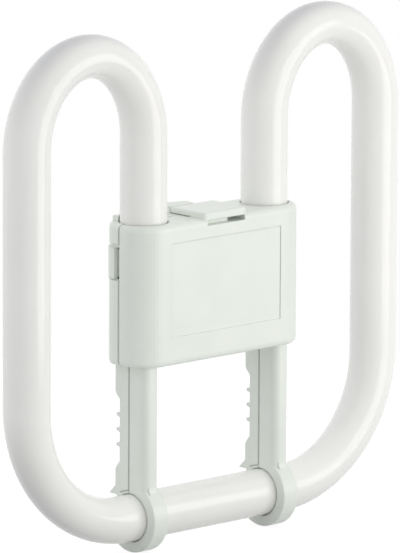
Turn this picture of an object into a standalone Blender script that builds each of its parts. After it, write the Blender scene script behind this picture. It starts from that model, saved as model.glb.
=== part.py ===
"""Square compact fluorescent lamp: one sealed glass tube, bent flat into a square, clipped into a moulded cap.

Metres, +Z up, the lamp's front faces -Y. The origin is the middle of the cap's seat, the flat end of the boss
that carries the four pins, so the whole lamp lies in front of it.
"""

import math

import bmesh
import bpy
from mathutils import Vector

# Overall size
lamp_width = 0.205
lamp_height = 0.207
crown_height = 0.1045
running_gap = 0.0003

# Glass tube
tube_diameter = 0.0186
leg_spacing = 0.0647
loop_rise = 0.0345
corner_radius = 0.0504
bend_flattening = 0.09
tube_sides = 24
loop_steps = 20
corner_steps = 12

# Pinched seal at each end of the tube
seal_clearance = 0.0110
seal_length = 0.0050
seal_shoulder = 0.0080
seal_width = 0.0130
seal_thickness = 0.0036

# Cap casing, measured from the plane of the tube's centreline
base_width = 0.0890
base_height = 0.0560
front_depth = 0.0130
rear_depth = 0.0110
front_corner = 0.0119
rear_corner = 0.0076
edge_round = 0.0023
rear_round_share = 0.2
cap_wall = 0.0015
parting_offset = 0.0010
seam_width = 0.0007
seam_depth = 0.0005
leg_hole_clearance = 0.0006

# Arms that hold the lower tube, with a hook round the tube at the end of each
arm_spacing = 0.0700
arm_width = 0.0076
arm_front = 0.0087
arm_rear = 0.0090
arm_rear_low = 0.0086
arm_corner = 0.0030
arm_rear_edge = 0.0004
arm_wall = 0.0014
ring_wall = 0.0045
ring_edge = 0.0005
shoulder_fillet = 0.0045
hook_end_angle = -42.0

# Foot of each arm: it flares out behind and ends flat, just clear of the tube
foot_reach = 0.0121
foot_flare = 0.0035
foot_height = 0.0082
foot_open = 0.0084
foot_line_height = 0.0106
foot_line_drop = 0.0014
foot_line_end = 0.0058
foot_line_width = 0.0004
foot_line_depth = 0.0005

# Notch with ratchet teeth in the back of each arm: its start and length are shares of the arm's run,
# and the ramp and the teeth are shares of the notch
notch_start_share = 0.22
notch_length_share = 0.65
ramp_share = 0.113
first_tooth_share = 0.305
tooth_pitch_share = 0.188
tooth_width_share = 0.075
tooth_count = 3
notch_depth = 0.0028
tooth_height = 0.0018

# Raised bridge over the slot in the top of the front cover; the slot is deep only at its right end
bridge_left = 0.0122
bridge_right = 0.0105
bridge_rise = 0.0025
bridge_reach = 0.0192
bridge_set_back = 0.0001
bridge_corner = 0.0021
bridge_round = 0.0006
slot_left = 0.0101
slot_right = 0.0097
slot_height = 0.0020
slot_drop = 0.0026
slot_depth = 0.0080
slot_shallow = 0.0024
slot_deep_share = 0.36
tongue_width = 0.0132
tongue_lift = 0.0011
tongue_lift_right = 0.0003
collar_inner = 0.0016
collar_outer = 0.0070
collar_rise = 0.0021
collar_clearance = 0.0003

# Shallow bare panel in the front face
panel_width = 0.0583
panel_height = 0.0370
panel_rise = 0.0020
panel_depth = 0.00025

# Side latch, on both sides
latch_height_share = 0.22
latch_drop = 0.0155
window_width = 0.0020
pad_proud = 0.00035
pry_notch_height = 0.0014
pry_notch_depth = 0.0011
latch_crack = 0.0004
tongue_thickness = 0.0010

# Boss with the pins
boss_width = 0.0270
boss_height = 0.0210
boss_reach = 0.0043
boss_corner = 0.0030
boss_end_wall = 0.0020
keyway_width = 0.0040
keyway_depth = 0.0015
pin_spacing = 0.0100
pin_diameter = 0.0024
pin_length = 0.0066
pin_flange = 0.0042
pin_flange_thickness = 0.0008
pin_bore = 0.0014

# Inside the cap
shelf_thickness = 0.0014
shelf_inner = 0.0210
peg_spacing = 0.0360
peg_top_drop = 0.0080
peg_bottom_rise = 0.0170
peg_diameter = 0.0024
peg_reach = 0.0035
socket_wall = 0.0009
pad_thickness = 0.0014
wire_diameter = 0.0008
wire_pair_spacing = 0.0050
wire_drop = 0.0035
wire_lane_step = 0.0032
sleeve_wall = 0.0005
sleeve_length = 0.0160

# Places that follow from the sizes above
tube_radius = tube_diameter / 2
ring_radius = tube_radius + ring_wall
seat_to_tube = rear_depth + boss_reach
tube_y = -seat_to_tube
front_y = tube_y - front_depth
rear_y = tube_y + rear_depth
parting_y = tube_y + parting_offset
axis_low = crown_height - lamp_height + ring_radius
axis_top = crown_height - tube_radius * (1 - bend_flattening)
leg_x = leg_spacing / 2
outer_x = lamp_width / 2 - tube_radius
base_top = base_height / 2
base_bottom = -base_height / 2
half_base = base_width / 2
arm_x = arm_spacing / 2
arm_front_y = tube_y - arm_front
arm_rear_y = tube_y + arm_rear
arm_low_y = tube_y + arm_rear_low
foot_z = axis_low + foot_height
arm_run = base_bottom - foot_z - foot_flare
notch_top = base_bottom - arm_run * notch_start_share
notch_length = arm_run * notch_length_share
notch_ramp = notch_length * ramp_share
seal_end = base_bottom + seal_clearance
latch_height = base_height * latch_height_share
latch_middle = base_top - latch_drop
peg_levels = (base_top - peg_top_drop, base_bottom + peg_bottom_rise)
shelf_levels = (latch_middle + latch_height / 2 + shelf_thickness, latch_middle - latch_height / 2 - shelf_thickness)


def clear_scene():
    for thing in list(bpy.data.objects):
        bpy.data.objects.remove(thing, do_unlink=True)


def make_material(name, colour, roughness, metallic=0.0):
    finish = bpy.data.materials.new(name)
    finish.use_nodes = True
    shader = finish.node_tree.nodes["Principled BSDF"]
    shader.inputs["Base Color"].default_value = (*colour, 1.0)
    shader.inputs["Roughness"].default_value = roughness
    shader.inputs["Metallic"].default_value = metallic
    return finish


def add_object(name, shape, finish=None):
    """Turns a bmesh into an object and closes the bmesh."""
    mesh = bpy.data.meshes.new(name)
    bmesh.ops.recalc_face_normals(shape, faces=shape.faces)
    shape.to_mesh(mesh)
    shape.free()
    thing = bpy.data.objects.new(name, mesh)
    bpy.context.scene.collection.objects.link(thing)
    if finish is not None:
        mesh.materials.append(finish)
    return thing


def combine(target, tool, operation):
    """Adds one exact boolean to the target and hides its tool."""
    step = target.modifiers.new(tool.name, "BOOLEAN")
    step.operation = operation
    step.solver = "EXACT"
    step.object = tool
    tool.hide_render = True
    tool.display_type = "WIRE"


def settle(thing, smooth_angle=30.0):
    """Turns the object's booleans into plain mesh, cleans it and shades its round faces smooth."""
    depsgraph = bpy.context.evaluated_depsgraph_get()
    mesh = bpy.data.meshes.new_from_object(thing.evaluated_get(depsgraph))
    tools = [step.object for step in thing.modifiers]
    thing.modifiers.clear()
    thing.data = mesh
    shape = bmesh.new()
    shape.from_mesh(mesh)
    bmesh.ops.remove_doubles(shape, verts=shape.verts, dist=0.000002)
    bmesh.ops.dissolve_degenerate(shape, edges=shape.edges, dist=0.000002)
    shape.to_mesh(mesh)
    shape.free()
    mesh.shade_smooth()
    mesh.set_sharp_from_angle(angle=math.radians(smooth_angle))
    return tools


def skin(rings):
    """Closed solid through rings of equal point counts, with a flat cap at each end."""
    shape = bmesh.new()
    rows = [[shape.verts.new(point) for point in ring] for ring in rings]
    count = len(rows[0])
    for low, high in zip(rows, rows[1:]):
        for i in range(count):
            j = (i + 1) % count
            shape.faces.new((low[i], low[j], high[j], high[i]))
    shape.faces.new(rows[0])
    shape.faces.new(rows[-1])
    return shape


def prism_z(outline, low, high):
    return skin([[Vector((x, y, z)) for x, y in outline] for z in (low, high)])


def prism_x(outline, left, right):
    return skin([[Vector((x, y, z)) for y, z in outline] for x in (left, right)])


def block(low, high, rounding=0.0):
    """Box between two corners, its edges rounded if asked."""
    shape = prism_z([(low[0], low[1]), (high[0], low[1]), (high[0], high[1]), (low[0], high[1])], low[2], high[2])
    if rounding > 0:
        bmesh.ops.bevel(shape, geom=shape.edges, offset=rounding, segments=2, profile=0.5, affect="EDGES")
    return shape


def arc(centre, radius, start, end, steps):
    """Points on an arc, angles in degrees, both ends included."""
    points = []
    for i in range(steps + 1):
        angle = math.radians(start + (end - start) * i / steps)
        points.append((centre[0] + radius * math.cos(angle), centre[1] + radius * math.sin(angle)))
    return points


def turned(profile, centre, axis, sides=32):
    """Solid of revolution: profile of (distance along the axis, radius), with the axis along X, Y or Z."""
    rings = []
    for along, radius in profile:
        ring = []
        for i in range(sides):
            angle = 2 * math.pi * i / sides
            u = radius * math.cos(angle)
            v = radius * math.sin(angle)
            offset = {"X": (along, u, v), "Y": (u, along, v), "Z": (u, v, along)}[axis]
            ring.append(Vector(centre) + Vector(offset))
        rings.append(ring)
    return skin(rings)


def cap_plan(inset, rounded=0.0):
    """Plan of the cap seen from above, its corners as true arcs; its edges are rounded less at the back."""
    side = half_base - inset - rounded
    front = front_y + inset + rounded
    rear = rear_y - inset - rounded * rear_round_share
    big = front_corner - inset - rounded
    small = rear_corner - inset - rounded
    plan = arc((-side + big, front + big), big, 180, 270, 12)
    plan += arc((side - big, front + big), big, 270, 360, 12)
    plan += arc((side - small, rear - small), small, 0, 90, 8)
    plan += arc((-side + small, rear - small), small, 90, 180, 8)
    return plan


def cap_half_plan(inset, side, inner):
    """The part of the cap's plan that lies outside a given distance from the middle, on one side."""
    reach = half_base - inset
    front = front_y + inset
    rear = rear_y - inset
    big = front_corner - inset
    small = rear_corner - inset
    plan = [(inner, front)]
    plan += arc((reach - big, front + big), big, 270, 360, 9)
    plan += arc((reach - small, rear - small), small, 0, 90, 6)
    plan += [(inner, rear)]
    return [(side * x, y) for x, y in plan]


def side_band(inner, outer, side, start_y, sweep):
    """Plan of a strip that hugs one side wall and turns round the rear corner, between two offsets."""
    centre = (half_base - rear_corner, rear_y - rear_corner)
    start = min(start_y, centre[1] - running_gap / 4)
    near = arc(centre, rear_corner + outer, 0, sweep, 5)
    far = arc(centre, rear_corner + inner, sweep, 0, 5)
    strip = [(half_base + outer, start)] + near + far + [(half_base + inner, start)]
    return [(side * x, y) for x, y in strip]


def rounded_cap_solid(inset, rounding, steps=3):
    """The cap's plan raised to its height, with its top and bottom edges rounded."""
    top = base_top - inset
    bottom = base_bottom + inset
    levels = []
    for i in range(steps + 1):
        angle = math.radians(90 * i / steps)
        levels.append((bottom + rounding * (1 - math.cos(angle)), rounding * (1 - math.sin(angle))))
    levels += [(top - (z - bottom), shrink) for z, shrink in reversed(levels)]
    return skin([[Vector((x, y, z)) for x, y in cap_plan(inset, shrink)] for z, shrink in levels])


def tube_stations():
    """Centre, in-plane normal and the two half widths of each section, from the right seal to the middle below."""
    stations = []
    up = (-1.0, 0.0)
    shoulder_low = seal_end + seal_length
    for z in (seal_end, shoulder_low):
        stations.append((leg_x, z, up, seal_width / 2, seal_thickness / 2))
    for i in range(1, 6):
        share = 0.5 - 0.5 * math.cos(math.pi * i / 5)
        width = seal_width / 2 + (tube_radius - seal_width / 2) * share
        depth = seal_thickness / 2 + (tube_radius - seal_thickness / 2) * share
        stations.append((leg_x, shoulder_low + seal_shoulder * i / 5, up, width, depth))
    loop_half = (outer_x - leg_x) / 2
    loop_x = (outer_x + leg_x) / 2
    loop_z = axis_top - loop_rise
    for i in range(loop_steps + 1):
        angle = math.pi * (1 - i / loop_steps)
        along = Vector((loop_half * math.sin(angle), -loop_rise * math.cos(angle))).normalized()
        flat = tube_radius * (1 - bend_flattening * math.sin(angle))
        place = (loop_x + loop_half * math.cos(angle), loop_z + loop_rise * math.sin(angle))
        stations.append((*place, (-along[1], along[0]), flat, tube_radius))
    for i in range(corner_steps + 1):
        angle = -0.5 * math.pi * i / corner_steps
        along = (math.sin(angle), -math.cos(angle))
        flat = tube_radius * (1 - bend_flattening * math.sin(-2 * angle))
        place = (outer_x - corner_radius + corner_radius * math.cos(angle),
                 axis_low + corner_radius + corner_radius * math.sin(angle))
        stations.append((*place, (-along[1], along[0]), flat, tube_radius))
    return stations


def make_tube(finish):
    right = tube_stations()
    left = [(-x, z, (-normal[0], normal[1]), a, b) for x, z, normal, a, b in reversed(right)]
    rings = []
    for x, z, normal, half_flat, half_deep in right + left:
        ring = []
        for i in range(tube_sides):
            angle = 2 * math.pi * i / tube_sides
            shift = half_flat * math.cos(angle)
            ring.append(Vector((x + normal[0] * shift, tube_y + half_deep * math.sin(angle), z + normal[1] * shift)))
        rings.append(ring)
    tube = add_object("lamp_tube", skin(rings), finish)
    tube.data.shade_smooth()
    tube.data.set_sharp_from_angle(angle=math.radians(40))


def arm_solid(side):
    """Upright bar with round front corners and a plain back, from inside the cap to the ring's middle."""
    left = side * arm_x - arm_width / 2
    right = side * arm_x + arm_width / 2
    plan = arc((left + arm_corner, arm_front_y + arm_corner), arm_corner, 180, 270, 5)
    plan += arc((right - arm_corner, arm_front_y + arm_corner), arm_corner, 270, 360, 5)
    plan += arc((right - arm_rear_edge, arm_rear_y - arm_rear_edge), arm_rear_edge, 0, 90, 2)
    plan += arc((left + arm_rear_edge, arm_rear_y - arm_rear_edge), arm_rear_edge, 90, 180, 2)
    return prism_z(plan, foot_z, base_bottom + cap_wall * 0.6)


def ring_solid(side):
    """Disc of the ring with its outer edges rounded; the bore for the tube is cut later."""
    half = arm_width / 2
    profile = [(-half, ring_radius * 0.3)]
    profile += [(-half + ring_edge - ring_edge * math.cos(math.radians(a)),
                 ring_radius - ring_edge + ring_edge * math.sin(math.radians(a))) for a in (0, 45, 90)]
    profile += [(-along, radius) for along, radius in reversed(profile)]
    return turned(profile, (side * arm_x, tube_y, axis_low), "X", 56)


def shoulder_solid(side):
    """Filler between the arm's front and the ring, ending in a concave arc that meets both smoothly."""
    half = arm_width / 2 - arm_corner * 0.55
    centre_y = arm_front_y - shoulder_fillet
    reach = ring_radius + shoulder_fillet
    rise = math.sqrt(reach ** 2 - (tube_y - centre_y) ** 2)
    centre = (centre_y, axis_low + rise)
    touch = math.degrees(math.atan2(axis_low - centre[1], tube_y - centre_y))
    outline = arc(centre, shoulder_fillet, 0, touch, 5)
    outline += [(tube_y, axis_low), (tube_y, centre[1])]
    return prism_x(outline, side * arm_x - half, side * arm_x + half)


def foot_solid(side):
    """Flared foot behind the arm, with a flat underside just above the back of the tube."""
    half = arm_width / 2
    outline = [(tube_y, foot_z), (tube_y + foot_reach, foot_z), (arm_low_y, foot_z + foot_flare)]
    outline.append((tube_y, foot_z + foot_flare))
    return prism_x(outline, side * arm_x - half, side * arm_x + half)


def hook_opening(side):
    """Wedge that opens the ring behind, from the foot's flat underside to the end of the hook."""
    reach = ring_radius * 2
    angle = math.radians(hook_end_angle)
    outline = [(tube_y, axis_low), (tube_y + reach * math.cos(angle), axis_low + reach * math.sin(angle))]
    outline += [(tube_y + reach, foot_z), (tube_y + foot_open, foot_z)]
    half = arm_width / 2 + running_gap
    return prism_x(outline, side * arm_x - half, side * arm_x + half)


def notch_outline():
    """Side view of the toothed notch: ramp in, floor with teeth standing on it, ramp out to the slimmer lower part."""
    outside = arm_rear_y + notch_depth
    floor = arm_rear_y - notch_depth
    top = notch_top
    low = top - notch_length
    half_tooth = notch_length * tooth_width_share / 2
    outline = [(outside, top), (arm_rear_y, top), (arm_rear_y - notch_depth * 0.3, top - notch_ramp * 0.45)]
    outline.append((floor, top - notch_ramp))
    for i in range(tooth_count):
        middle = top - notch_length * (first_tooth_share + tooth_pitch_share * i)
        for rise, share in ((1.0, 0.0), (0.6, 0.35), (0.44, 1.0), (-0.44, 1.0), (-0.6, 0.35), (-1.0, 0.0)):
            outline.append((floor + tooth_height * share, middle + half_tooth * rise))
    outline += [(floor, low + notch_ramp), (arm_low_y - notch_depth * 0.3, low + notch_ramp * 0.45)]
    outline += [(arm_low_y, low), (arm_low_y, foot_z + foot_flare), (outside, foot_z + foot_flare)]
    return outline


def seam_groove(inner, outer, low, high):
    """Wider groove on the parting line, cut into one side face."""
    ends = sorted((inner, outer))
    return block((ends[0], parting_y - seam_width / 2, low), (ends[1], parting_y + seam_width / 2, high))


def cap_body():
    """Whole casing before it is parted: hollow base, hollow arms, rings, shelves and the holes for the tube."""
    body = add_object("casing", rounded_cap_solid(0.0, edge_round))
    for side in (-1, 1):
        combine(body, add_object("arm", arm_solid(side)), "UNION")
        combine(body, add_object("ring", ring_solid(side)), "UNION")
        combine(body, add_object("shoulder", shoulder_solid(side)), "UNION")
        combine(body, add_object("foot", foot_solid(side)), "UNION")
        combine(body, add_object("hook_opening", hook_opening(side)), "DIFFERENCE")
    combine(body, add_object("cavity", rounded_cap_solid(cap_wall, edge_round - cap_wall)), "DIFFERENCE")
    for side in (-1, 1):
        half = arm_width / 2 - arm_wall
        low = (side * arm_x - half, arm_front_y + arm_wall, axis_low + ring_radius)
        high = (side * arm_x + half, arm_rear_y - notch_depth - arm_wall, base_bottom + cap_wall * 2)
        combine(body, add_object("arm_channel", block(low, high)), "DIFFERENCE")
        reach = arm_width / 2 + running_gap
        notch = prism_x(notch_outline(), side * arm_x - reach, side * arm_x + reach)
        combine(body, add_object("notch", notch), "DIFFERENCE")
        groove = seam_groove(side * (half_base - seam_depth), side * (half_base + cap_wall),
                             base_bottom - cap_wall, base_top + cap_wall)
        combine(body, add_object("side_seam", groove), "DIFFERENCE")
        for way in (-1, 1):
            face = side * arm_x + way * arm_width / 2
            groove = seam_groove(face - way * seam_depth, face + way * cap_wall,
                                 axis_low + foot_line_height, base_bottom - running_gap / 2)
            combine(body, add_object("arm_seam", groove), "DIFFERENCE")
        for level in shelf_levels:
            plan = cap_half_plan(cap_wall / 2, side, shelf_inner)
            shelf = prism_z(plan, level - shelf_thickness / 2, level + shelf_thickness / 2)
            combine(body, add_object("shelf", shelf), "UNION")
        cradle = turned([(seal_end, tube_radius + running_gap), (base_top - cap_wall / 2, tube_radius + running_gap)],
                        (side * leg_x, tube_y, 0), "Z", 40)
        combine(body, add_object("cradle", cradle), "DIFFERENCE")
    bore = turned([(-half_base, tube_radius + running_gap), (half_base, tube_radius + running_gap)],
                  (0, tube_y, axis_low), "X", 48)
    combine(body, add_object("ring_bore", bore), "DIFFERENCE")
    tools = settle(body)
    return body, tools


def cut_leg_hole(cover, side, clearance):
    """Round hole in the cap's top where one inner leg of the tube comes out."""
    radius = tube_radius + clearance
    span = [(base_top - cap_wall * 1.5, radius), (base_top + collar_rise * 2, radius)]
    hole = turned(span, (side * leg_x, tube_y, 0), "Z", 40)
    combine(cover, add_object("leg_hole", hole), "DIFFERENCE")


def half_space(front):
    """Everything on one side of the parting plane, half a gap away; below the tube all goes to the front."""
    reach = lamp_width
    if front:
        seam = parting_y - running_gap / 2
        outline = [(-reach, -reach), (reach, -reach), (reach, axis_low), (seam, axis_low), (seam, reach), (-reach, reach)]
    else:
        seam = parting_y + running_gap / 2
        outline = [(seam, axis_low), (reach, axis_low), (reach, reach), (seam, reach)]
    return prism_x(outline, -reach, reach)


def bridge_plan(inset, back):
    """Plan of the bridge up to a given back edge; its front left corner is well rounded."""
    left = -bridge_left + inset
    right = bridge_right - inset
    front = front_y + bridge_set_back + inset
    plan = arc((left + bridge_corner, front + bridge_corner), bridge_corner, 180, 270, 5)
    plan += arc((right - bridge_round, front + bridge_round), bridge_round, 270, 360, 2)
    return plan + [(right, back - inset), (left, back - inset)]


def make_front_cover(body, finish):
    cover = bpy.data.objects.new("front_cover", body.data.copy())
    bpy.context.scene.collection.objects.link(cover)
    combine(cover, add_object("front_space", half_space(True)), "INTERSECT")

    bridge_top = base_top + bridge_rise
    nose = prism_z(bridge_plan(0.0, front_y + slot_depth), base_top - edge_round - slot_drop, bridge_top - bridge_round)
    combine(cover, add_object("bridge_nose", nose), "UNION")
    levels = [(base_top + running_gap, 0.0), (bridge_top - bridge_round, 0.0)]
    levels += [(bridge_top - bridge_round * 0.3, bridge_round * 0.3), (bridge_top, bridge_round)]
    back = front_y + bridge_reach
    plate = skin([[Vector((x, y, z)) for x, y in bridge_plan(inset, back)] for z, inset in levels])
    combine(cover, add_object("bridge_plate", plate), "UNION")
    slot_high = base_top - (slot_drop - slot_height)
    slot_middle = slot_right - (slot_left + slot_right) * slot_deep_share
    for left, right, depth in ((-slot_left, slot_middle, slot_shallow), (slot_middle, slot_right, slot_depth * 0.9)):
        slot = block((left, front_y - slot_depth, slot_high - slot_height), (right, front_y + depth, slot_high))
        combine(cover, add_object("slot", slot), "DIFFERENCE")
    panel = block((-panel_width / 2, front_y - panel_depth, panel_rise - panel_height / 2),
                  (panel_width / 2, front_y + panel_depth, panel_rise + panel_height / 2))
    combine(cover, add_object("panel", panel), "DIFFERENCE")

    inner_side = half_base - cap_wall
    for side in (-1, 1):
        cut_leg_hole(cover, side, leg_hole_clearance)
        near = side * (inner_side - running_gap)
        far = side * (inner_side - running_gap - tongue_thickness)
        low = latch_middle - latch_height / 2 + 2 * running_gap
        high = latch_middle + latch_height / 2 - 2 * running_gap
        back = parting_y + window_width + cap_wall
        tongue = block((min(near, far), front_y + front_corner * 0.7, low), (max(near, far), back, high))
        combine(cover, add_object("latch_tongue", tongue), "UNION")
        for level in peg_levels:
            profile = [(front_y + cap_wall / 2, peg_diameter), (parting_y - cap_wall, peg_diameter)]
            place = (side * peg_spacing / 2, 0, level)
            combine(cover, add_object("peg_foot", turned(profile, place, "Y", 16)), "UNION")
            profile = [(parting_y - 2 * cap_wall, peg_diameter / 2), (parting_y + peg_reach, peg_diameter / 2)]
            combine(cover, add_object("peg", turned(profile, place, "Y", 16)), "UNION")
    tools = settle(cover)
    cover.data.materials.clear()
    cover.data.materials.append(finish)
    return tools


def boss_outline(inset):
    """Rounded rectangle of the boss, in X and Z."""
    x = boss_width / 2 - inset - boss_corner
    z = boss_height / 2 - inset - boss_corner
    outline = arc((x, z), boss_corner, 0, 90, 4) + arc((-x, z), boss_corner, 90, 180, 4)
    return outline + arc((-x, -z), boss_corner, 180, 270, 4) + arc((x, -z), boss_corner, 270, 360, 4)


def tongue_solid():
    """Tongue of the rear cover behind the bridge; it curves up towards the back, more so at its left end."""
    left = -bridge_left
    right = left + tongue_width
    start = front_y + bridge_reach + running_gap
    run = rear_y - bridge_round * 1.5 - start
    top = base_top + bridge_rise
    low = base_top - cap_wall / 2
    rings = []
    for share in (0.0, 0.35, 0.7, 1.0):
        rise = share ** 2
        rings.append((start + run * share, top + tongue_lift * rise, top + tongue_lift_right * rise))
    y, high_left, high_right = rings[-1]
    rings.append((y + bridge_round / 2, high_left - bridge_round / 2, high_right - bridge_round / 2))
    shape = skin([[Vector((left, y, low)), Vector((right, y, low)), Vector((right, y, b - bridge_round)),
                   Vector((right - bridge_round, y, b)), Vector((left, y, a))] for y, a, b in rings])
    bmesh.ops.triangulate(shape, faces=shape.faces)
    return shape


def make_rear_cover(body, finish):
    cover = bpy.data.objects.new("rear_cover", body.data.copy())
    bpy.context.scene.collection.objects.link(cover)
    combine(cover, add_object("rear_space", half_space(False)), "INTERSECT")

    rounding = cap_wall * 0.4
    steps = [(rear_y - cap_wall / 2, 0.0), (-rounding, 0.0), (-rounding * 0.3, rounding * 0.3), (0.0, rounding)]
    boss = skin([[Vector((x, y, z)) for x, z in boss_outline(inset)] for y, inset in steps])
    combine(cover, add_object("boss", boss), "UNION")
    pocket = [(rear_y - cap_wall * 2, cap_wall), (-boss_end_wall, cap_wall)]
    pocket = skin([[Vector((x, y, z)) for x, z in boss_outline(inset)] for y, inset in pocket])
    combine(cover, add_object("boss_pocket", pocket), "DIFFERENCE")
    keyway = block((-keyway_width / 2, rear_y + running_gap, -boss_height),
                   (keyway_width / 2, boss_reach, -boss_height / 2 + keyway_depth))
    combine(cover, add_object("keyway", keyway), "DIFFERENCE")
    key_wall = block((-keyway_width / 2 - cap_wall, rear_y - cap_wall / 2, -boss_height / 2 + keyway_depth),
                     (keyway_width / 2 + cap_wall, -boss_end_wall / 2, -boss_height / 2 + keyway_depth + cap_wall))
    combine(cover, add_object("key_wall", key_wall), "UNION")

    combine(cover, add_object("bridge_tongue", tongue_solid()), "UNION")
    for side in (-1, 1):
        ends = sorted((side * (leg_x + collar_inner), side * (leg_x + collar_outer)))
        low = (ends[0], tube_y + tube_radius / 2, base_top - cap_wall / 2)
        high = (ends[1], rear_y - bridge_round, base_top + collar_rise)
        combine(cover, add_object("collar", block(low, high, bridge_round)), "UNION")
        line_low = axis_low + foot_line_height
        face = arm_x + arm_width / 2
        for inner, outer in ((face - foot_line_depth, face + cap_wall), (face - arm_width - cap_wall,
                                                                        face - arm_width + foot_line_depth)):
            edges = sorted((side * inner, side * outer))
            line_end = tube_y + foot_line_end
            outline = [(parting_y, line_low), (line_end, line_low - foot_line_drop)]
            outline += [(y, z + foot_line_width) for y, z in reversed(outline)]
            combine(cover, add_object("foot_line", prism_x(outline, *edges)), "DIFFERENCE")
        cut_leg_hole(cover, side, collar_clearance)

        low_z = latch_middle - latch_height / 2
        high_z = latch_middle + latch_height / 2
        start = parting_y + window_width
        pad = prism_z(side_band(-cap_wall / 2, pad_proud, side, start, 62), low_z, high_z)
        combine(cover, add_object("latch_pad", pad), "UNION")
        outside = parting_y - cap_wall
        pry = prism_z(side_band(-pry_notch_depth, 2 * pad_proud, side, outside, 70), high_z, high_z + pry_notch_height)
        combine(cover, add_object("pry_notch", pry), "DIFFERENCE")
        crack = prism_z(side_band(-cap_wall / 2, 2 * pad_proud, side, outside, 40), low_z - latch_crack, low_z)
        combine(cover, add_object("latch_crack", crack), "DIFFERENCE")
        edges = sorted((side * (half_base - cap_wall * 1.5), side * (half_base + cap_wall)))
        window = block((edges[0], parting_y - cap_wall, low_z), (edges[1], start, high_z))
        combine(cover, add_object("latch_window", window), "DIFFERENCE")

        for level in peg_levels:
            place = (side * peg_spacing / 2, 0, level)
            outer = peg_diameter / 2 + running_gap + socket_wall
            profile = [(parting_y + running_gap * 1.5, outer), (rear_y - cap_wall / 2, outer)]
            combine(cover, add_object("socket", turned(profile, place, "Y", 16)), "UNION")
            inner = peg_diameter / 2 + running_gap
            profile = [(parting_y - cap_wall, inner), (parting_y + peg_reach + running_gap, inner)]
            combine(cover, add_object("socket_bore", turned(profile, place, "Y", 16)), "DIFFERENCE")
        for level in (-1, 1):
            place = (side * pin_spacing / 2, 0, level * pin_spacing / 2)
            profile = [(-boss_end_wall * 2, pin_diameter / 2 + running_gap), (boss_reach, pin_diameter / 2 + running_gap)]
            combine(cover, add_object("pin_hole", turned(profile, place, "Y", 24)), "DIFFERENCE")
    tools = settle(cover)
    cover.data.materials.clear()
    cover.data.materials.append(finish)
    return tools


def make_pins(finish):
    """Four hollow pins: bored from inside, flanged behind the boss's end wall, round at the tip."""
    radius = pin_diameter / 2
    flange_front = -boss_end_wall - running_gap
    tail = flange_front - pin_flange_thickness - pin_diameter
    profile = [(tail, pin_bore / 2), (tail, radius), (flange_front - pin_flange_thickness, radius)]
    profile += [(flange_front - pin_flange_thickness, pin_flange / 2), (flange_front, pin_flange / 2)]
    profile += [(flange_front, radius)]
    for angle in (0, 30, 60, 80):
        profile.append((pin_length - radius + radius * math.sin(math.radians(angle)),
                        radius * math.cos(math.radians(angle))))
    floor = pin_length - pin_diameter
    profile = [(floor, pin_bore * 0.1), (floor, pin_bore / 2)] + profile
    number = 1
    for level in (1, -1):
        for side in (-1, 1):
            place = (side * pin_spacing / 2, 0, level * pin_spacing / 2)
            pin = add_object("contact_pin_%d" % number, turned(profile, place, "Y", 16), finish)
            pin.data.shade_smooth()
            pin.data.set_sharp_from_angle(angle=math.radians(35))
            number += 1


def pin_tail():
    return -boss_end_wall - running_gap - pin_flange_thickness - pin_diameter


def wire_route(side, upper):
    """Corners of one lead: out of the seal, along the cap's floor to the middle, and back into its pin."""
    start_x = leg_x + (wire_pair_spacing / 2 if upper else -wire_pair_spacing / 2)
    lane_z = seal_end - wire_drop - (wire_lane_step if upper else 0)
    lane_y = tube_y - (wire_lane_step if upper else 0)
    pin_x = pin_spacing / 2
    pin_z = pin_spacing / 2 if upper else -pin_spacing / 2
    corners = [(start_x, tube_y, seal_end - running_gap)]
    if upper:
        corners.append((start_x, tube_y, seal_end - wire_drop))
    corners += [(start_x, lane_y, lane_z), (pin_x, lane_y, lane_z), (pin_x, lane_y, pin_z)]
    corners.append((pin_x, pin_tail() + pin_diameter, pin_z))
    return [Vector((side * x, y, z)) for x, y, z in corners]


def rounded_route(corners, radius, steps=4):
    """The same route with each corner turned into a small bend."""
    points = [corners[0]]
    for before, corner, after in zip(corners, corners[1:], corners[2:]):
        back = (before - corner).normalized() * radius
        ahead = (after - corner).normalized() * radius
        for i in range(steps + 1):
            t = i / steps
            points.append(corner + back * (1 - t) ** 2 + ahead * t ** 2)
    points.append(corners[-1])
    return points


def make_wires(wire_finish, sleeve_finish):
    number = 1
    for upper in (True, False):
        for side in (-1, 1):
            corners = wire_route(side, upper)
            points = rounded_route(corners, wire_diameter * 1.5)
            curve = bpy.data.curves.new("lead_wire_%d" % number, "CURVE")
            curve.dimensions = "3D"
            curve.bevel_depth = wire_diameter / 2
            curve.bevel_resolution = 2
            curve.use_fill_caps = True
            line = curve.splines.new("POLY")
            line.points.add(len(points) - 1)
            for slot, point in zip(line.points, points):
                slot.co = (*point, 1.0)
            wire = bpy.data.objects.new("lead_wire_%d" % number, curve)
            bpy.context.scene.collection.objects.link(wire)
            curve.materials.append(wire_finish)

            lane = corners[-3]
            inner = wire_diameter / 2 + running_gap
            outer = inner + sleeve_wall
            start = pin_spacing
            profile = [(start, inner), (start, outer), (start + sleeve_length, outer), (start + sleeve_length, inner)]
            sleeve = sleeve_solid([(side * along, radius) for along, radius in profile], (0, lane.y, lane.z))
            add_object("wire_sleeve_%d" % number, sleeve, sleeve_finish)
            number += 1


def sleeve_solid(profile, centre, sides=16):
    """Open tube: the profile is a closed loop that goes round the axis."""
    shape = bmesh.new()
    rings = []
    for i in range(sides):
        angle = 2 * math.pi * i / sides
        ring = []
        for along, radius in profile:
            place = Vector(centre) + Vector((along, radius * math.cos(angle), radius * math.sin(angle)))
            ring.append(shape.verts.new(place))
        rings.append(ring)
    for i in range(sides):
        here = rings[i]
        there = rings[(i + 1) % sides]
        for j in range(len(profile)):
            k = (j + 1) % len(profile)
            shape.faces.new((here[j], here[k], there[k], there[j]))
    return shape


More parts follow.
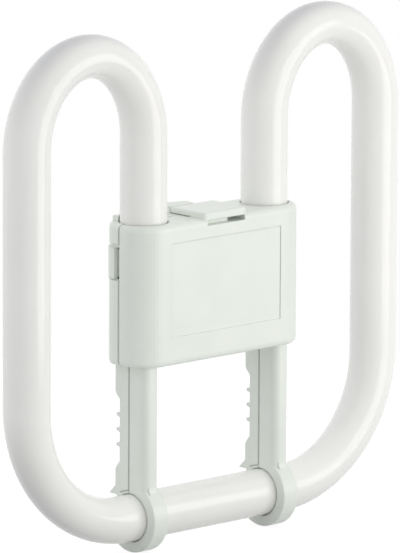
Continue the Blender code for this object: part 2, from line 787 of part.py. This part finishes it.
def make_cushions(finish):
    """Soft pads between the front of each inner leg and the front cover, held between the two shelves."""
    low = shelf_levels[1] + shelf_thickness / 2 + running_gap
    high = shelf_levels[0] - shelf_thickness / 2 - running_gap
    for side, name in ((-1, "tube_cushion_left"), (1, "tube_cushion_right")):
        centre = (side * leg_x, tube_y)
        inner = tube_radius + running_gap
        outline = arc(centre, inner + pad_thickness, 215, 325, 14) + arc(centre, inner, 325, 215, 14)
        add_object(name, prism_z(outline, low, high), finish)


def build_lamp():
    clear_scene()
    glass = make_material("coated_glass", (0.93, 0.92, 0.93), 0.12)
    plastic = make_material("moulded_plastic", (0.86, 0.88, 0.85), 0.40)
    brass = make_material("brass", (0.80, 0.62, 0.32), 0.30, 1.0)
    nickel = make_material("nickel_wire", (0.72, 0.70, 0.66), 0.35, 1.0)
    silicone = make_material("silicone", (0.82, 0.82, 0.80), 0.60)
    sleeving = make_material("woven_sleeving", (0.90, 0.88, 0.80), 0.75)

    make_tube(glass)
    body, tools = cap_body()
    tools += make_front_cover(body, plastic)
    tools += make_rear_cover(body, plastic)
    make_pins(brass)
    make_wires(nickel, sleeving)
    make_cushions(silicone)
    for tool in tools + [body]:
        bpy.data.objects.remove(tool, do_unlink=True)


build_lamp()
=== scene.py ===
"""Looks of the square compact fluorescent lamp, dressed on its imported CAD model.

Metres, +Z up, the lamp's front faces -Y, the origin is the middle of the cap's seat. The camera stands where the
photograph was taken from: to the left of the lamp's front and a little above it.
"""

import math

import bmesh
import bpy
from mathutils import Matrix, Vector


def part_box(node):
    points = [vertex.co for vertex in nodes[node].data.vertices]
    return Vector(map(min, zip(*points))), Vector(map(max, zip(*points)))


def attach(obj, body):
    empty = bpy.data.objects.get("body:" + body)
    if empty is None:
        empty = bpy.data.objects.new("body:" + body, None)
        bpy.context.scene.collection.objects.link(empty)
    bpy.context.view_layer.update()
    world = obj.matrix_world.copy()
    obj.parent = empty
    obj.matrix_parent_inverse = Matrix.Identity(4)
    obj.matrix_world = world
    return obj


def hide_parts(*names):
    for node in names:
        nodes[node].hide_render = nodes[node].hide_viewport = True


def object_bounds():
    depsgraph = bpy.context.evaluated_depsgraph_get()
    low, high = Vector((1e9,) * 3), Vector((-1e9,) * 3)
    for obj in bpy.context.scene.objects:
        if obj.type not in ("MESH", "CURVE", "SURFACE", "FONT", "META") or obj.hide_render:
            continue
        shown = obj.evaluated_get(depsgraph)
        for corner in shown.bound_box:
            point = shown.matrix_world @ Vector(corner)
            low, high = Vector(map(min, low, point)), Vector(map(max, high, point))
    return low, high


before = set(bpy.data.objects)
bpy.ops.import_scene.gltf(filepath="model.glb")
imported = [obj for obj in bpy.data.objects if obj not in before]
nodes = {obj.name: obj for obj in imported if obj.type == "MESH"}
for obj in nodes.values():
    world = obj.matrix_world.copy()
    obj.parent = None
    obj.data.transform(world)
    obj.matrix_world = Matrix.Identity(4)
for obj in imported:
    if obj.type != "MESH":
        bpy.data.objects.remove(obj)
cad_low, cad_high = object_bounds()

# Camera, fitted to the tube's outline in the photograph
camera_azimuth = 43.35
camera_elevation = 10.92
camera_roll = 0.28
camera_distance = 3.006
camera_shift_right = -0.0015
camera_shift_up = -0.0011
camera_lens = 500.2
camera_target = Vector((0.0, -0.0153, 0.00325))

# Glass tube: the CAD solid's own sizes, with finer steps
tube_radius = 0.0093
tube_y = -0.0153
leg_x = 0.03235
loop_rise = 0.0345
corner_radius = 0.0504
bend_flattening = 0.09
seal_length = 0.0050
seal_shoulder = 0.0080
seal_width = 0.0130
seal_thickness = 0.0036
tube_sides = 72
bend_step = 2.5
shoulder_steps = 14
sharp_angle = 40
outer_x = cad_high.x - tube_radius
crown_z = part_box("lamp_tube")[1].z - tube_radius * (1 - bend_flattening)
lower_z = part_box("lamp_tube")[0].z + tube_radius
seal_end = -0.0170

# Painted shade on the tube: how strongly it greys the outer side of the loops and of the corners, and the grey it
# fades to there
loop_painted_shade = 1.0
corner_painted_shade = 0.7
painted_shade_falloff = 4
painted_bend_shade = (0.61, 0.61, 0.632)

# Colours, each as the darkest and the lightest of its clouding
coating_colours = ((0.942, 0.942, 0.912), (0.968, 0.968, 0.940))
plastic_colours = ((0.826, 0.870, 0.818), (0.858, 0.898, 0.848))
brass_colours = ((0.66, 0.47, 0.22), (0.84, 0.66, 0.36))
nickel_colours = ((0.62, 0.60, 0.56), (0.76, 0.74, 0.70))
sleeving_colours = ((0.72, 0.69, 0.58), (0.90, 0.88, 0.79))
silicone_colours = ((0.78, 0.78, 0.75), (0.85, 0.85, 0.82))

# The range that noise seldom leaves
noise_low = 0.3
noise_high = 0.7

# Light: a softbox to the front right, and surroundings that are brighter behind the lamp
fill_bright = 0.94
fill_dim = 0.45
fill_towards = Vector((-0.28, 0.75, 0.60)).normalized()
key_azimuth = 25.0
key_elevation = 4.5
key_distance = 0.75
key_width = 0.60
key_height = 0.50
key_power = 2.22
key_colour = (1.0, 0.992, 0.962)

# Floor: it ends before the softbox, so that the legs mirror the whole softbox
floor_reach = 0.35
floor_sides = 96
floor_gap = 0.0002
floor_colour = (0.60, 0.60, 0.60)
floor_glow = 0.88
floor_shadow_colour = (0.22, 0.22, 0.22)


def material(name):
    """A new node material, with its tree and its Principled shader."""
    made = bpy.data.materials.new(name)
    made.use_nodes = True
    return made, made.node_tree, made.node_tree.nodes["Principled BSDF"]


def noise(tree, scale, detail=3.0, stretch=None):
    """Noise in the lamp's own coordinates, in cells per metre, stretched along an axis if asked."""
    place = tree.nodes.new("ShaderNodeTexCoord")
    texture = tree.nodes.new("ShaderNodeTexNoise")
    texture.inputs["Scale"].default_value = scale
    texture.inputs["Detail"].default_value = detail
    source = place.outputs["Object"]
    if stretch:
        mapping = tree.nodes.new("ShaderNodeMapping")
        mapping.inputs["Scale"].default_value = stretch
        tree.links.new(source, mapping.inputs["Vector"])
        source = mapping.outputs["Vector"]
    tree.links.new(source, texture.inputs["Vector"])
    return texture.outputs["Fac"]


def ramp(tree, value, low, high, dark, light):
    """Turns a value between low and high into a blend of two colours."""
    blend = tree.nodes.new("ShaderNodeValToRGB")
    blend.color_ramp.elements[0].position = low
    blend.color_ramp.elements[1].position = high
    blend.color_ramp.elements[0].color = (*dark, 1.0)
    blend.color_ramp.elements[1].color = (*light, 1.0)
    tree.links.new(value, blend.inputs["Fac"])
    return blend.outputs["Color"]


def spread(tree, value, low, high):
    """Maps a noise value onto a range of numbers."""
    span = tree.nodes.new("ShaderNodeMapRange")
    span.inputs["From Min"].default_value = noise_low
    span.inputs["From Max"].default_value = noise_high
    span.inputs["To Min"].default_value = low
    span.inputs["To Max"].default_value = high
    tree.links.new(value, span.inputs["Value"])
    return span.outputs["Result"]


def bump(tree, shader, height, distance, strength, base=None):
    """Adds relief of a real depth to a shader; base is the normal it starts from."""
    relief = tree.nodes.new("ShaderNodeBump")
    relief.inputs["Distance"].default_value = distance
    relief.inputs["Strength"].default_value = strength
    tree.links.new(height, relief.inputs["Height"])
    if base is not None:
        tree.links.new(base, relief.inputs["Normal"])
    tree.links.new(relief.outputs["Normal"], shader.inputs["Normal"])


def make_glass():
    """Clear glass over an opaque white coating, with painted shade greying the outer side of the bends."""
    made, tree, shader = material("coated_glass")
    shader.inputs["IOR"].default_value = 1.5
    shader.inputs["Coat Weight"].default_value = 0.9
    shader.inputs["Coat Roughness"].default_value = 0.11
    shader.inputs["Specular IOR Level"].default_value = 0.0
    shader.inputs["Subsurface Weight"].default_value = 0.4
    shader.inputs["Subsurface Radius"].default_value = (1.0, 1.0, 1.0)
    shader.inputs["Subsurface Scale"].default_value = 0.006
    cloud = noise(tree, 45, detail=4)
    colour = ramp(tree, cloud, 0.35, 0.68, *coating_colours)
    # The stretch attribute holds the strength of the painted shade on the outer side of the bends, and the mix
    # below greys the coating by it.
    stretch = tree.nodes.new("ShaderNodeAttribute")
    stretch.attribute_name = "stretch"
    bend_shaded = tree.nodes.new("ShaderNodeMix")
    bend_shaded.data_type = "RGBA"
    bend_shaded.inputs["B"].default_value = (*painted_bend_shade, 1.0)
    tree.links.new(stretch.outputs["Fac"], bend_shaded.inputs["Factor"])
    tree.links.new(colour, bend_shaded.inputs["A"])
    tree.links.new(bend_shaded.outputs["Result"], shader.inputs["Base Color"])
    tree.links.new(spread(tree, noise(tree, 260), 0.30, 0.40), shader.inputs["Roughness"])
    waves = noise(tree, 70, detail=1, stretch=(1.0, 1.0, 0.35))
    bump(tree, shader, waves, 0.00012, 0.6)
    return made


def make_plastic():
    """Satin moulded plastic with the fine grain of a spark-eroded mould."""
    made, tree, shader = material("moulded_plastic")
    shader.inputs["IOR"].default_value = 1.54
    cloud = noise(tree, 60, detail=5)
    colour = ramp(tree, cloud, 0.32, 0.70, *plastic_colours)
    tree.links.new(colour, shader.inputs["Base Color"])
    tree.links.new(spread(tree, noise(tree, 900), 0.30, 0.37), shader.inputs["Roughness"])
    soft_edges = tree.nodes.new("ShaderNodeBevel")
    soft_edges.samples = 8
    soft_edges.inputs["Radius"].default_value = 0.0008
    grain = noise(tree, 4200, detail=2)
    bump(tree, shader, grain, 0.00001, 0.12, soft_edges.outputs["Normal"])
    return made


def make_brass():
    """Drawn brass with fine lines along the pins and a little tarnish."""
    made, tree, shader = material("pin_brass")
    shader.inputs["Metallic"].default_value = 1.0
    tarnish = noise(tree, 900, detail=4)
    colour = ramp(tree, tarnish, 0.35, 0.70, *brass_colours)
    tree.links.new(colour, shader.inputs["Base Color"])
    tree.links.new(spread(tree, tarnish, 0.22, 0.38), shader.inputs["Roughness"])
    bump(tree, shader, noise(tree, 5200, stretch=(1.0, 0.06, 1.0)), 0.00001, 0.5)
    return made


def make_nickel():
    """Nickel wire, slightly dull."""
    made, tree, shader = material("lead_wire")
    shader.inputs["Metallic"].default_value = 1.0
    colour = ramp(tree, noise(tree, 1500), noise_low, noise_high, *nickel_colours)
    tree.links.new(colour, shader.inputs["Base Color"])
    tree.links.new(spread(tree, noise(tree, 3000), 0.28, 0.42), shader.inputs["Roughness"])
    bump(tree, shader, noise(tree, 6000), 0.00001, 0.4)
    return made


def make_sleeving():
    """Woven glass-fibre sleeving: two sets of strands that cross."""
    made, tree, shader = material("wire_sleeving")
    shader.inputs["Sheen Weight"].default_value = 0.3
    place = tree.nodes.new("ShaderNodeTexCoord")
    heights = []
    for turn in (45, -45):
        mapping = tree.nodes.new("ShaderNodeMapping")
        mapping.inputs["Rotation"].default_value = (math.radians(turn), 0.0, math.radians(turn))
        strands = tree.nodes.new("ShaderNodeTexWave")
        strands.inputs["Scale"].default_value = 900
        strands.inputs["Distortion"].default_value = 0.6
        tree.links.new(place.outputs["Object"], mapping.inputs["Vector"])
        tree.links.new(mapping.outputs["Vector"], strands.inputs["Vector"])
        heights.append(strands.outputs["Fac"])
    weave = tree.nodes.new("ShaderNodeMath")
    weave.operation = "MAXIMUM"
    tree.links.new(heights[0], weave.inputs[0])
    tree.links.new(heights[1], weave.inputs[1])
    colour = ramp(tree, weave.outputs["Value"], 0.2, 0.9, *sleeving_colours)
    tree.links.new(colour, shader.inputs["Base Color"])
    shader.inputs["Roughness"].default_value = 0.8
    bump(tree, shader, weave.outputs["Value"], 0.00012, 0.8)
    return made


def make_silicone():
    """Soft matt silicone."""
    made, tree, shader = material("silicone_pad")
    colour = ramp(tree, noise(tree, 300), noise_low, noise_high, *silicone_colours)
    tree.links.new(colour, shader.inputs["Base Color"])
    tree.links.new(spread(tree, noise(tree, 800), 0.5, 0.65), shader.inputs["Roughness"])
    shader.inputs["Subsurface Weight"].default_value = 0.1
    bump(tree, shader, noise(tree, 2500), 0.00003, 0.4)
    return made


def tube_stations():
    """Centre, outward normal, half widths and painted shade strength of each section, from the right seal to the
    middle below.
    """
    stations = []
    upright = (-1.0, 0.0)
    shoulder_low = seal_end + seal_length
    for z in (seal_end, shoulder_low):
        stations.append((leg_x, z, upright, seal_width / 2, seal_thickness / 2, 0.0))
    for i in range(1, shoulder_steps + 1):
        share = 0.5 - 0.5 * math.cos(math.pi * i / shoulder_steps)
        width = seal_width / 2 + (tube_radius - seal_width / 2) * share
        depth = seal_thickness / 2 + (tube_radius - seal_thickness / 2) * share
        stations.append((leg_x, shoulder_low + seal_shoulder * i / shoulder_steps, upright, width, depth, 0.0))
    loop_half = (outer_x - leg_x) / 2
    loop_x = (outer_x + leg_x) / 2
    loop_z = crown_z - loop_rise
    steps = round(180 / bend_step)
    for i in range(steps + 1):
        angle = math.pi * (1 - i / steps)
        along = Vector((loop_half * math.sin(angle), -loop_rise * math.cos(angle))).normalized()
        flat = tube_radius * (1 - bend_flattening * math.sin(angle))
        place = (loop_x + loop_half * math.cos(angle), loop_z + loop_rise * math.sin(angle))
        # Painted shade on the outer side of the loop, strongest at the crown.
        stretch = loop_painted_shade * math.sin(angle)
        stations.append((*place, (-along[1], along[0]), flat, tube_radius, stretch))
    steps = round(90 / bend_step)
    for i in range(steps + 1):
        angle = -0.5 * math.pi * i / steps
        along = (math.sin(angle), -math.cos(angle))
        flat = tube_radius * (1 - bend_flattening * math.sin(-2 * angle))
        place = (outer_x - corner_radius + corner_radius * math.cos(angle),
                 lower_z + corner_radius + corner_radius * math.sin(angle))
        # Painted shade on the outer side of the corner, strongest halfway round it.
        stretch = corner_painted_shade * math.sin(-2 * angle)
        stations.append((*place, (-along[1], along[0]), flat, tube_radius, stretch))
    return stations


def make_tube(finish):
    """The sealed glass tube, with the strength of the painted shade on its bends kept on the vertices."""
    right = tube_stations()
    left = [(-x, z, (-normal[0], normal[1]), a, b, s) for x, z, normal, a, b, s in reversed(right)]
    shape = bmesh.new()
    # This layer holds the strength of the painted shade, which falls only on the outer side of each bend.
    stretched = shape.verts.layers.float.new("stretch")
    rows = []
    for x, z, normal, half_flat, half_deep, stretch in right + left:
        row = []
        for i in range(tube_sides):
            angle = 2 * math.pi * i / tube_sides
            shift = half_flat * math.cos(angle)
            place = (x + normal[0] * shift, tube_y + half_deep * math.sin(angle), z + normal[1] * shift)
            vertex = shape.verts.new(place)
            vertex[stretched] = stretch * max(0.0, math.cos(angle)) ** painted_shade_falloff
            row.append(vertex)
        rows.append(row)
    for row, after in zip(rows, rows[1:]):
        for i in range(tube_sides):
            j = (i + 1) % tube_sides
            shape.faces.new((row[i], row[j], after[j], after[i]))
    shape.faces.new(rows[0])
    shape.faces.new(rows[-1])
    bmesh.ops.recalc_face_normals(shape, faces=shape.faces)
    mesh = bpy.data.meshes.new("glass_tube")
    shape.to_mesh(mesh)
    shape.free()
    mesh.shade_smooth()
    mesh.set_sharp_from_angle(angle=math.radians(sharp_angle))
    tube = bpy.data.objects.new("glass_tube", mesh)
    bpy.context.scene.collection.objects.link(tube)
    mesh.materials.append(finish)
    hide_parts("lamp_tube")
    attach(tube, "root")


def dress(node, finish):
    """Gives a CAD node its finish."""
    shown = nodes[node]
    shown.data.materials.clear()
    shown.data.materials.append(finish)


def make_camera():
    """The photograph's camera: placed by angle, distance and roll round its target."""
    azimuth = math.radians(camera_azimuth)
    elevation = math.radians(camera_elevation)
    roll = math.radians(camera_roll)
    level = math.cos(elevation)
    look = Vector((math.sin(azimuth) * level, math.cos(azimuth) * level, -math.sin(elevation)))
    right = Vector((math.cos(azimuth), -math.sin(azimuth), 0.0))
    up = right.cross(look)
    place = camera_target - look * camera_distance + right * camera_shift_right + up * camera_shift_up
    turned_right = right * math.cos(roll) + up * math.sin(roll)
    turned_up = up * math.cos(roll) - right * math.sin(roll)
    data = bpy.data.cameras.new("camera")
    data.lens = camera_lens
    data.clip_start = 0.1
    data.clip_end = 20.0
    camera = bpy.data.objects.new("camera", data)
    bpy.context.scene.collection.objects.link(camera)
    turn = Matrix((turned_right, turned_up, -look)).transposed().to_4x4()
    camera.matrix_world = Matrix.Translation(place) @ turn
    bpy.context.scene.camera = camera


def make_softbox(name, azimuth, elevation, distance, width, height, power, colour):
    """Rectangular lamp that faces the object, azimuth measured from the front towards the right."""
    a = math.radians(azimuth)
    e = math.radians(elevation)
    back = Vector((math.sin(a) * math.cos(e), -math.cos(a) * math.cos(e), math.sin(e)))
    data = bpy.data.lights.new(name, "AREA")
    data.shape = "RECTANGLE"
    data.size = width
    data.size_y = height
    data.energy = power
    data.color = colour
    lamp = bpy.data.objects.new(name, data)
    lamp.location = camera_target + back * distance
    lamp.rotation_mode = "QUATERNION"
    lamp.rotation_quaternion = (-back).to_track_quat("-Z", "Y")
    lamp.visible_camera = False
    bpy.context.scene.collection.objects.link(lamp)


def make_world():
    """White surroundings: full white to the eye and in reflections, and as light brighter behind the lamp."""
    world = bpy.data.worlds.new("studio")
    bpy.context.scene.world = world
    world.use_nodes = True
    tree = world.node_tree
    fill = tree.nodes["Background"]
    fill.inputs["Color"].default_value = (1.0, 1.0, 1.0, 1.0)
    direction = tree.nodes.new("ShaderNodeTexCoord")
    facing = tree.nodes.new("ShaderNodeVectorMath")
    facing.operation = "DOT_PRODUCT"
    facing.inputs[1].default_value = fill_towards
    strength = tree.nodes.new("ShaderNodeMapRange")
    strength.inputs["From Min"].default_value = -1.0
    strength.inputs["From Max"].default_value = 1.0
    strength.inputs["To Min"].default_value = fill_dim
    strength.inputs["To Max"].default_value = fill_bright
    tree.links.new(direction.outputs["Generated"], facing.inputs[0])
    tree.links.new(facing.outputs["Value"], strength.inputs["Value"])
    tree.links.new(strength.outputs["Result"], fill.inputs["Strength"])
    seen = tree.nodes.new("ShaderNodeBackground")
    seen.inputs["Color"].default_value = (1.0, 1.0, 1.0, 1.0)
    seen.inputs["Strength"].default_value = 1.0
    mix = tree.nodes.new("ShaderNodeMixShader")
    tree.links.new(seen_by_eye(tree), mix.inputs["Fac"])
    tree.links.new(fill.outputs["Background"], mix.inputs[1])
    tree.links.new(seen.outputs["Background"], mix.inputs[2])
    tree.links.new(mix.outputs["Shader"], tree.nodes["World Output"].inputs["Surface"])


def seen_by_eye(tree):
    """1 for camera, glossy and transmission rays, 0 for the rays that carry light."""
    path = tree.nodes.new("ShaderNodeLightPath")
    total = path.outputs["Is Camera Ray"]
    for name in ("Is Glossy Ray", "Is Transmission Ray"):
        either = tree.nodes.new("ShaderNodeMath")
        either.operation = "MAXIMUM"
        tree.links.new(total, either.inputs[0])
        tree.links.new(path.outputs[name], either.inputs[1])
        total = either.outputs["Value"]
    return total


def make_floor():
    """White floor that keeps a faint shadow."""
    shape = bmesh.new()
    bmesh.ops.create_circle(shape, cap_ends=True, segments=floor_sides, radius=floor_reach)
    mesh = bpy.data.meshes.new("floor")
    shape.to_mesh(mesh)
    shape.free()
    floor = bpy.data.objects.new("floor", mesh)
    floor.location = (0.0, 0.0, cad_low.z - floor_gap)
    bpy.context.scene.collection.objects.link(floor)
    made, tree, shader = material("floor")
    shader.inputs["Base Color"].default_value = (*floor_colour, 1.0)
    shader.inputs["Roughness"].default_value = 0.9
    shader.inputs["Specular IOR Level"].default_value = 0.0
    glow = tree.nodes.new("ShaderNodeEmission")
    glow.inputs["Strength"].default_value = floor_glow
    matt = tree.nodes.new("ShaderNodeBsdfDiffuse")
    matt.inputs["Color"].default_value = (*floor_shadow_colour, 1.0)
    seen = tree.nodes.new("ShaderNodeAddShader")
    tree.links.new(glow.outputs["Emission"], seen.inputs[0])
    tree.links.new(matt.outputs["BSDF"], seen.inputs[1])
    mix = tree.nodes.new("ShaderNodeMixShader")
    tree.links.new(seen_by_eye(tree), mix.inputs["Fac"])
    tree.links.new(shader.outputs["BSDF"], mix.inputs[1])
    tree.links.new(seen.outputs["Shader"], mix.inputs[2])
    tree.links.new(mix.outputs["Shader"], tree.nodes["Material Output"].inputs["Surface"])
    mesh.materials.append(made)


make_camera()
make_world()
make_floor()
make_softbox("key_light", key_azimuth, key_elevation, key_distance, key_width, key_height, key_power, key_colour)

glass = make_glass()
plastic = make_plastic()
brass = make_brass()
nickel = make_nickel()
sleeving = make_sleeving()
silicone = make_silicone()
make_tube(glass)
for name in ("front_cover", "rear_cover"):
    dress(name, plastic)
for number in range(1, 5):
    dress("contact_pin_%d" % number, brass)
    dress("lead_wire_%d" % number, nickel)
    dress("wire_sleeve_%d" % number, sleeving)
for side in ("left", "right"):
    dress("tube_cushion_" + side, silicone)

bpy.context.scene.view_settings.view_transform = "Standard"
